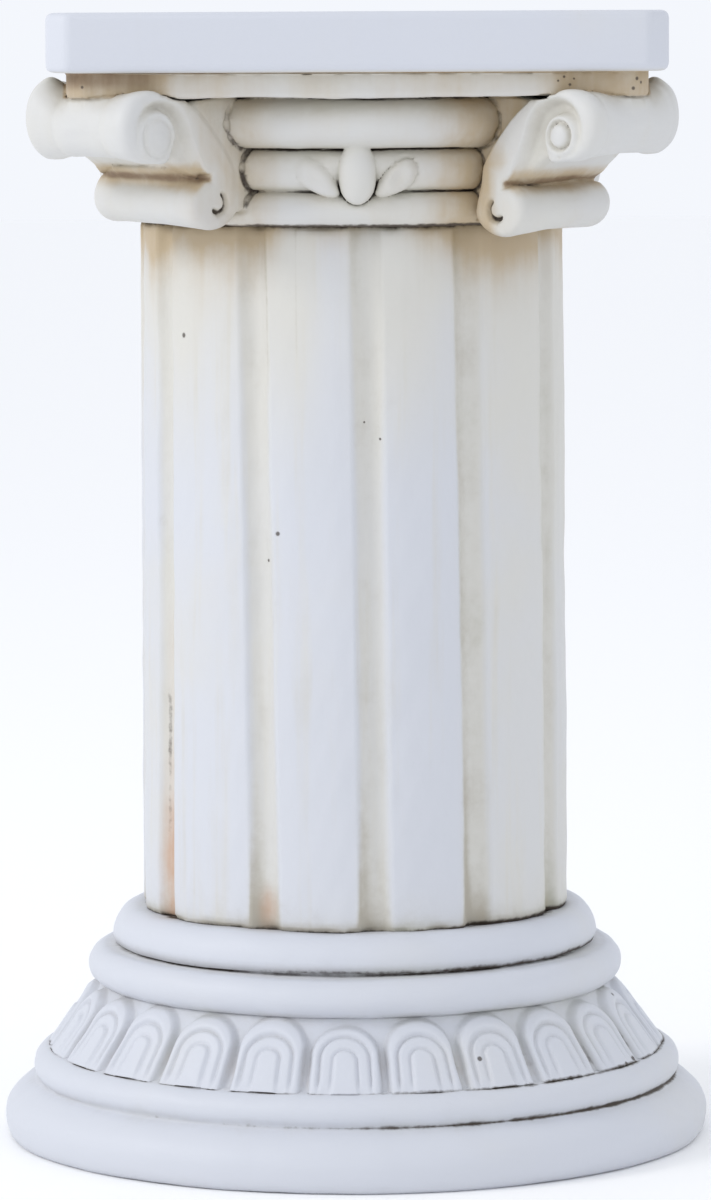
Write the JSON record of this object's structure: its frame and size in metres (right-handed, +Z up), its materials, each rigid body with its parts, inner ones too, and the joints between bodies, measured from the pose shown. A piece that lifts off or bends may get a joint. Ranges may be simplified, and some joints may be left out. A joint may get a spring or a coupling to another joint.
{
  "type": "garden column",
  "caption": "Short round garden column in the Ionic manner: moulded base with arched tongues, fluted shaft and square-topped scroll capital, to stand a pot or figure on.",
  "frame": {"origin": "middle of the base's underside, on the ground", "axes": "+Z up along the column's axis, -Y towards the front face of the capital"},
  "size_m": [0.378, 0.378, 0.6],
  "materials": {
    "painted_cast_stone": null
  },
  "bodies": {
    "root": {"base": "painted_cast_stone", "shaft": "painted_cast_stone", "capital": "painted_cast_stone"}
  },
  "joints": []
}
